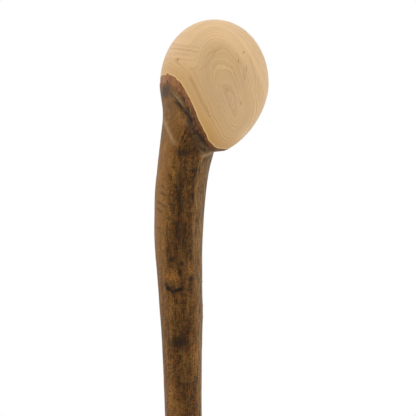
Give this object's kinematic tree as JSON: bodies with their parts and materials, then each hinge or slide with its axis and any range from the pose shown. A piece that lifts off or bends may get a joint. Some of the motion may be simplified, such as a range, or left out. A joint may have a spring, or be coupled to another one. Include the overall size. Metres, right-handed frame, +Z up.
{
  "type": "walking cane",
  "caption": "Walking cane from one natural stick: a bare egg-shaped wooden knob to grip, a bark-covered tapering shank, and a push-on flared rubber ferrule.",
  "frame": {"origin": "centre of the ground contact face under the ferrule", "axes": "+Z up the stick to the knob, +X the side that the knob leans to, +Y away from the viewer of the pictured side"},
  "size_m": [0.0641, 0.0604, 0.915],
  "materials": {
    "varnished_timber": "satin varnish over pale root wood",
    "inner_bark": "satin varnish over red-brown inner bark",
    "outer_bark": "satin varnish over streaked brown bark",
    "black_rubber": "matte moulded rubber",
    "zinc_steel": "dull zinc plate"
  },
  "bodies": {
    "stick": {"stick_timber": "varnished_timber", "inner_bark": "inner_bark", "outer_bark": "outer_bark"},
    "ferrule": {"rubber_ferrule": "black_rubber", "steel_washer": "zinc_steel"}
  },
  "joints": [
    {"name": "ferrule_pull", "type": "slide", "parent": "stick", "child": "ferrule", "axis": [0, 0, -1], "range_m": [0, 0.045]}
  ]
}
